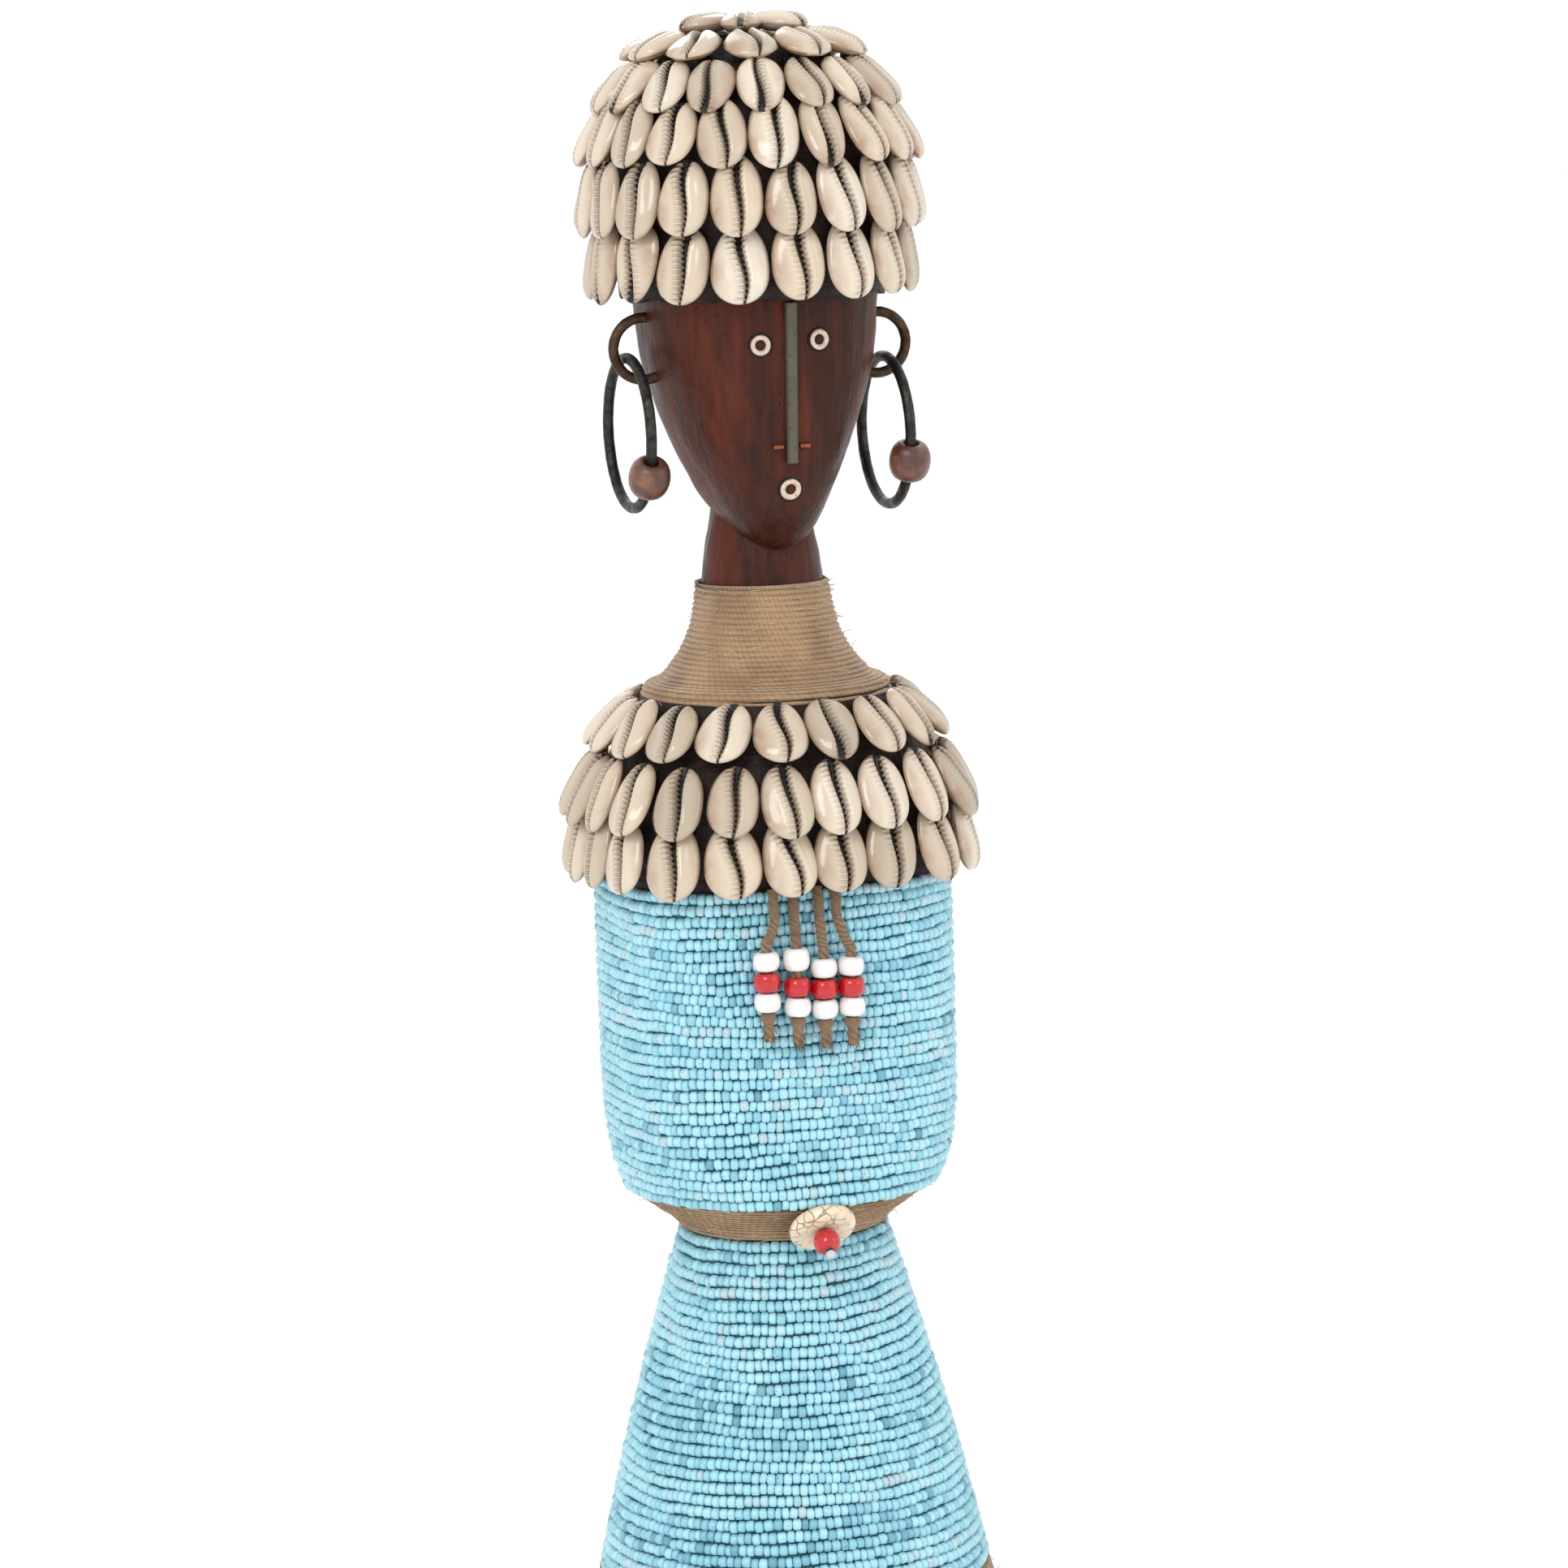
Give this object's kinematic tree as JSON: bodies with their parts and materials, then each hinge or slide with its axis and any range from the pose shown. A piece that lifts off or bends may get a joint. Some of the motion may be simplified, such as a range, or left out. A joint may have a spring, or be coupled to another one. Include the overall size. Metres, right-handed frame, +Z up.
{
  "type": "fertility doll",
  "caption": "Standing carved wooden doll with a cowrie-shell hair and collar, wound light-blue seed beads, twine wraps, beaded hoop earrings, chest tassels and a navel disc.",
  "frame": {"origin": "centre of the underside of the foot", "axes": "+Z up along the doll's height; the doll looks along -Y; +X runs to a viewer's right who faces the doll"},
  "size_m": [0.1254, 0.1254, 0.4708],
  "materials": {
    "wood": "carved, stained dark reddish brown, satin",
    "pitch": "dark pitch and resin, rough satin",
    "shell": "polished cream cowrie shell",
    "twine": "undyed jute twine",
    "seed_beads": "opaque light-blue glass seed beads",
    "dark_wire": "dark iron wire",
    "bronze_wire": "dark bronze wire",
    "nose_metal": "dull grey brass",
    "copper": "bare copper",
    "bone": "bone, polished",
    "turned_wood": "turned dark wood, waxed",
    "red_glass": "opaque red glass bead",
    "white_glass": "opaque white glass bead",
    "stone": "pale crackled stone",
    "clear_glass": "silver-lined clear glass"
  },
  "bodies": {
    "doll": {"carved_core": "wood", "hair_pitch_bed": "pitch", "collar_pitch_bed": "pitch", "hair_cowrie_row_1": "shell", "hair_cowrie_row_2": "shell", "hair_cowrie_row_3": "shell", "hair_cowrie_row_4": "shell", "hair_cowrie_row_5": "shell", "hair_cowrie_row_6": "shell", "collar_cowrie_row_1": "shell", "collar_cowrie_row_2": "shell", "collar_cowrie_row_3": "shell", "neck_twine_wrap": "twine", "waist_twine_wrap": "twine", "hem_twine_wrap": "twine", "torso_bead_winding": "seed_beads", "skirt_bead_winding": "seed_beads", "nose_rod": "nose_metal", "nostril_pin_left": "copper", "nostril_pin_right": "copper", "eye_ring_left": "bone", "eye_ring_right": "bone", "mouth_ring": "bone", "eye_plug_left": "wood", "eye_plug_right": "wood", "mouth_plug": "wood", "ear_loop_left": "bronze_wire", "ear_loop_right": "bronze_wire", "navel_pin": "dark_wire", "navel_stop_bead": "clear_glass"},
    "left_hoop": {"earring_hoop_left": "dark_wire"},
    "left_hoop_bead": {"hoop_bead_left": "turned_wood"},
    "right_hoop": {"earring_hoop_right": "dark_wire"},
    "right_hoop_bead": {"hoop_bead_right": "turned_wood"},
    "navel_disc": {"navel_disc": "stone"},
    "navel_red_bead": {"navel_red_bead": "red_glass"},
    "tassel_1": {"tassel_1_cord": "twine", "tassel_1_knot": "twine"},
    "tassel_1_white_low": {"tassel_1_white_low_bead": "white_glass"},
    "tassel_1_red": {"tassel_1_red_bead": "red_glass"},
    "tassel_1_white_top": {"tassel_1_white_top_bead": "white_glass"},
    "tassel_2": {"tassel_2_cord": "twine", "tassel_2_knot": "twine"},
    "tassel_2_white_low": {"tassel_2_white_low_bead": "white_glass"},
    "tassel_2_red": {"tassel_2_red_bead": "red_glass"},
    "tassel_2_white_top": {"tassel_2_white_top_bead": "white_glass"},
    "tassel_3": {"tassel_3_cord": "twine", "tassel_3_knot": "twine"},
    "tassel_3_white_low": {"tassel_3_white_low_bead": "white_glass"},
    "tassel_3_red": {"tassel_3_red_bead": "red_glass"},
    "tassel_3_white_top": {"tassel_3_white_top_bead": "white_glass"},
    "tassel_4": {"tassel_4_cord": "twine", "tassel_4_knot": "twine"},
    "tassel_4_white_low": {"tassel_4_white_low_bead": "white_glass"},
    "tassel_4_red": {"tassel_4_red_bead": "red_glass"},
    "tassel_4_white_top": {"tassel_4_white_top_bead": "white_glass"}
  },
  "joints": [
    {"name": "left_hoop_swing", "type": "hinge", "parent": "doll", "child": "left_hoop", "pos_m": [-0.039, -0.006, 0.37166], "axis": [-1, 0, 0], "range_deg": [-50, 50]},
    {"name": "left_hoop_bead_run", "type": "hinge", "parent": "left_hoop", "child": "left_hoop_bead", "pos_m": [-0.039, -0.006, 0.35563], "axis": [-1, 0, 0], "range_deg": [-140, 60]},
    {"name": "right_hoop_swing", "type": "hinge", "parent": "doll", "child": "right_hoop", "pos_m": [0.0362, -0.006, 0.36884], "axis": [-1, 0, 0], "range_deg": [-50, 50]},
    {"name": "right_hoop_bead_run", "type": "hinge", "parent": "right_hoop", "child": "right_hoop_bead", "pos_m": [0.0362, -0.006, 0.35243], "axis": [-1, 0, 0], "range_deg": [-140, 60]},
    {"name": "navel_disc_spin", "type": "hinge", "parent": "doll", "child": "navel_disc", "pos_m": [-0.002, -0.0383, 0.13724], "axis": [0, -0.7193, -0.6947], "continuous": true},
    {"name": "navel_red_bead_spin", "type": "hinge", "parent": "doll", "child": "navel_red_bead", "pos_m": [-0.002, -0.0383, 0.13724], "axis": [0, -0.7193, -0.6947], "continuous": true},
    {"name": "tassel_1_swing", "type": "hinge", "parent": "doll", "child": "tassel_1", "pos_m": [-0.0143, -0.04549, 0.2225], "axis": [-1, 0, 0], "range_deg": [0, 60]},
    {"name": "tassel_1_white_low_slide", "type": "slide", "parent": "tassel_1", "child": "tassel_1_white_low", "axis": [0, 0, 1], "range_m": [0, 0.0008]},
    {"name": "tassel_1_red_slide", "type": "slide", "parent": "tassel_1_white_low", "child": "tassel_1_red", "axis": [0, 0, 1], "range_m": [0, 0.0002]},
    {"name": "tassel_1_white_top_slide", "type": "slide", "parent": "tassel_1_red", "child": "tassel_1_white_top", "axis": [0, 0, 1], "range_m": [0, 0.001]},
    {"name": "tassel_2_swing", "type": "hinge", "parent": "doll", "child": "tassel_2", "pos_m": [-0.0086, -0.04549, 0.2225], "axis": [-1, 0, 0], "range_deg": [0, 60]},
    {"name": "tassel_2_white_low_slide", "type": "slide", "parent": "tassel_2", "child": "tassel_2_white_low", "axis": [0, 0, 1], "range_m": [0, 0.0008]},
    {"name": "tassel_2_red_slide", "type": "slide", "parent": "tassel_2_white_low", "child": "tassel_2_red", "axis": [0, 0, 1], "range_m": [0, 0.0012]},
    {"name": "tassel_2_white_top_slide", "type": "slide", "parent": "tassel_2_red", "child": "tassel_2_white_top", "axis": [0, 0, 1], "range_m": [0, 0.0002]},
    {"name": "tassel_3_swing", "type": "hinge", "parent": "doll", "child": "tassel_3", "pos_m": [-0.0013, -0.04549, 0.2225], "axis": [-1, 0, 0], "range_deg": [0, 60]},
    {"name": "tassel_3_white_low_slide", "type": "slide", "parent": "tassel_3", "child": "tassel_3_white_low", "axis": [0, 0, 1], "range_m": [0, 0.0008]},
    {"name": "tassel_3_red_slide", "type": "slide", "parent": "tassel_3_white_low", "child": "tassel_3_red", "axis": [0, 0, 1], "range_m": [0, 0.0002]},
    {"name": "tassel_3_white_top_slide", "type": "slide", "parent": "tassel_3_red", "child": "tassel_3_white_top", "axis": [0, 0, 1], "range_m": [0, 0.001]},
    {"name": "tassel_4_swing", "type": "hinge", "parent": "doll", "child": "tassel_4", "pos_m": [0.0038, -0.04549, 0.2225], "axis": [-1, 0, 0], "range_deg": [0, 60]},
    {"name": "tassel_4_white_low_slide", "type": "slide", "parent": "tassel_4", "child": "tassel_4_white_low", "axis": [0, 0, 1], "range_m": [0, 0.0008]},
    {"name": "tassel_4_red_slide", "type": "slide", "parent": "tassel_4_white_low", "child": "tassel_4_red", "axis": [0, 0, 1], "range_m": [0, 0.0002]},
    {"name": "tassel_4_white_top_slide", "type": "slide", "parent": "tassel_4_red", "child": "tassel_4_white_top", "axis": [0, 0, 1], "range_m": [0, 0.001]}
  ]
}
